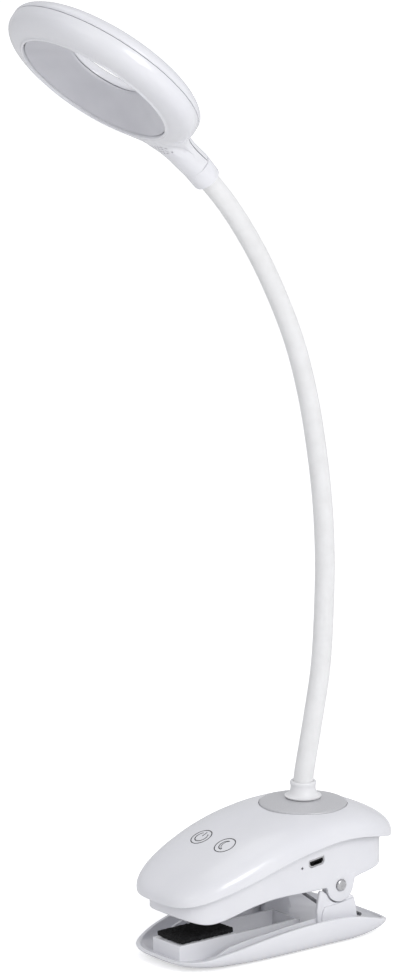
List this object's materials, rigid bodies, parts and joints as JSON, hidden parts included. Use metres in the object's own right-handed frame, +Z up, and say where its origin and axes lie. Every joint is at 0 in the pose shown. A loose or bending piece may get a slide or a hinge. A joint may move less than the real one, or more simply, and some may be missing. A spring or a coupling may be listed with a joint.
{
  "type": "clip-on reading lamp",
  "caption": "Rechargeable clip-on reading lamp: a sprung jaw clip with a touch panel, a bendable gooseneck and a tilted ring-shaped light head.",
  "frame": {"origin": "on the flat underside of the lower jaw, straight below the foot of the gooseneck", "axes": "+Z up; -Y towards the mouth of the clip and the head; +X towards the charging socket"},
  "size_m": [0.087, 0.1823, 0.4115],
  "materials": {
    "white_gloss": "glossy moulded ABS",
    "white_satin": "satin moulded ABS",
    "sleeve_white": "soft matt sleeve",
    "conduit_steel": "wound steel hose",
    "grey_trim": "satin silver-grey",
    "diffuser": "frosted, slightly translucent",
    "black_foam": "open, rough foam rubber",
    "steel": "bright plated",
    "spring_steel": "drawn spring wire",
    "board_green": "solder-masked circuit board",
    "board_white": "white circuit board",
    "grip_rubber": "moulded anti-slip rubber",
    "black_plastic": "moulded",
    "battery_wrap": null,
    "lamp_clear": "clear light pipe"
  },
  "bodies": {
    "lower_jaw": {"lower_tray": "white_gloss", "lower_foam_pad": "black_foam", "hinge_pin": "steel", "pin_cap": "steel", "torsion_spring": "spring_steel", "foot_pad_1": "grip_rubber", "foot_pad_2": "grip_rubber", "foot_pad_3": "grip_rubber", "foot_pad_4": "grip_rubber"},
    "upper_jaw": {"top_cover": "white_gloss", "lower_housing": "white_gloss", "upper_foam_pad": "black_foam", "base_disc": "grey_trim", "base_collar": "white_satin", "neck_nut": "steel", "battery_cell": "battery_wrap", "main_board": "board_green", "charge_board": "board_green", "usb_socket": "steel", "usb_tongue": "black_plastic", "charge_led": "lamp_clear", "touch_board": "board_green", "power_touch_spring": "spring_steel", "moon_touch_spring": "spring_steel", "housing_screw_1": "steel", "housing_screw_2": "steel", "housing_screw_3": "steel", "housing_screw_4": "steel", "neck_sleeve_01": "sleeve_white", "neck_conduit_01": "conduit_steel"},
    "neck_02": {"neck_sleeve_02": "sleeve_white", "neck_conduit_02": "conduit_steel"},
    "neck_03": {"neck_sleeve_03": "sleeve_white", "neck_conduit_03": "conduit_steel"},
    "neck_04": {"neck_sleeve_04": "sleeve_white", "neck_conduit_04": "conduit_steel"},
    "neck_05": {"neck_sleeve_05": "sleeve_white", "neck_conduit_05": "conduit_steel"},
    "neck_06": {"neck_sleeve_06": "sleeve_white", "neck_conduit_06": "conduit_steel"},
    "neck_07": {"neck_sleeve_07": "sleeve_white", "neck_conduit_07": "conduit_steel"},
    "neck_08": {"neck_sleeve_08": "sleeve_white", "neck_conduit_08": "conduit_steel"},
    "neck_09": {"neck_sleeve_09": "sleeve_white", "neck_conduit_09": "conduit_steel"},
    "neck_10": {"neck_sleeve_10": "sleeve_white", "neck_conduit_10": "conduit_steel"},
    "neck_11": {"neck_sleeve_11": "sleeve_white", "neck_conduit_11": "conduit_steel"},
    "neck_12": {"neck_sleeve_12": "sleeve_white", "neck_conduit_12": "conduit_steel"},
    "head": {"head_collar": "white_gloss", "head_lower_shell": "white_gloss", "head_top_shell": "white_gloss", "cone_diffuser": "diffuser", "led_ring_board": "board_white", "neck_sleeve_13": "sleeve_white", "neck_conduit_13": "conduit_steel"}
  },
  "joints": [
    {"name": "clip_open", "type": "hinge", "parent": "lower_jaw", "child": "upper_jaw", "pos_m": [0, 0.001, 0.0264], "axis": [-1, 0, 0], "range_deg": [0, 25], "stiffness_Nm_per_rad": 1.2, "springref_deg": -40.11, "deforming": ["torsion_spring"]},
    {"name": "neck_bend_lower", "type": "hinge", "parent": "upper_jaw", "child": "neck_02", "pos_m": [0, 0.00028, 0.0695], "axis": [1, 0, 0], "range_deg": [-12, 12]},
    {"name": "neck_bend_side", "type": "hinge", "parent": "neck_02", "child": "neck_03", "pos_m": [0, 0.00511, 0.09314], "axis": [0, 0.9818, -0.1901], "range_deg": [-10, 10]},
    {"name": "neck_bend_lower_2", "type": "hinge", "parent": "neck_03", "child": "neck_04", "pos_m": [0, 0.00945, 0.11688], "axis": [1, 0, 0], "range_deg": [-12, 12]},
    {"name": "neck_bend_lower_3", "type": "hinge", "parent": "neck_04", "child": "neck_05", "pos_m": [0, 0.01112, 0.14096], "axis": [1, 0, 0], "range_deg": [-12, 12]},
    {"name": "neck_bend_side_2", "type": "hinge", "parent": "neck_05", "child": "neck_06", "pos_m": [0, 0.0115, 0.1651], "axis": [0, 0.9997, 0.0243], "range_deg": [-10, 10]},
    {"name": "neck_bend_lower_4", "type": "hinge", "parent": "neck_06", "child": "neck_07", "pos_m": [0, 0.00995, 0.18918], "axis": [1, 0, 0], "range_deg": [-12, 12]},
    {"name": "neck_bend_upper", "type": "hinge", "parent": "neck_07", "child": "neck_08", "pos_m": [0, 0.0065, 0.21308], "axis": [1, 0, 0], "range_deg": [-12, 12]},
    {"name": "neck_bend_side_3", "type": "hinge", "parent": "neck_08", "child": "neck_09", "pos_m": [0, 0.00153, 0.2367], "axis": [0, 0.9674, 0.2531], "range_deg": [-10, 10]},
    {"name": "neck_bend_upper_2", "type": "hinge", "parent": "neck_09", "child": "neck_10", "pos_m": [0, -0.0057, 0.25971], "axis": [1, 0, 0], "range_deg": [-12, 12]},
    {"name": "neck_bend_upper_3", "type": "hinge", "parent": "neck_10", "child": "neck_11", "pos_m": [0, -0.01581, 0.28163], "axis": [1, 0, 0], "range_deg": [-12, 12]},
    {"name": "neck_bend_side_4", "type": "hinge", "parent": "neck_11", "child": "neck_12", "pos_m": [0, -0.02789, 0.30252], "axis": [0, 0.8376, 0.5463], "range_deg": [-10, 10]},
    {"name": "neck_bend_upper_4", "type": "hinge", "parent": "neck_12", "child": "head", "pos_m": [0, -0.04214, 0.322], "axis": [1, 0, 0], "range_deg": [-12, 12]}
  ],
  "couplings": [
    {"joint": "neck_bend_lower_2", "follows": "neck_bend_lower", "ratio": 1},
    {"joint": "neck_bend_lower_3", "follows": "neck_bend_lower", "ratio": 1},
    {"joint": "neck_bend_side_2", "follows": "neck_bend_side", "ratio": 1},
    {"joint": "neck_bend_lower_4", "follows": "neck_bend_lower", "ratio": 1},
    {"joint": "neck_bend_side_3", "follows": "neck_bend_side", "ratio": 1},
    {"joint": "neck_bend_upper_2", "follows": "neck_bend_upper", "ratio": 1},
    {"joint": "neck_bend_upper_3", "follows": "neck_bend_upper", "ratio": 1},
    {"joint": "neck_bend_side_4", "follows": "neck_bend_side", "ratio": 1},
    {"joint": "neck_bend_upper_4", "follows": "neck_bend_upper", "ratio": 1}
  ]
}
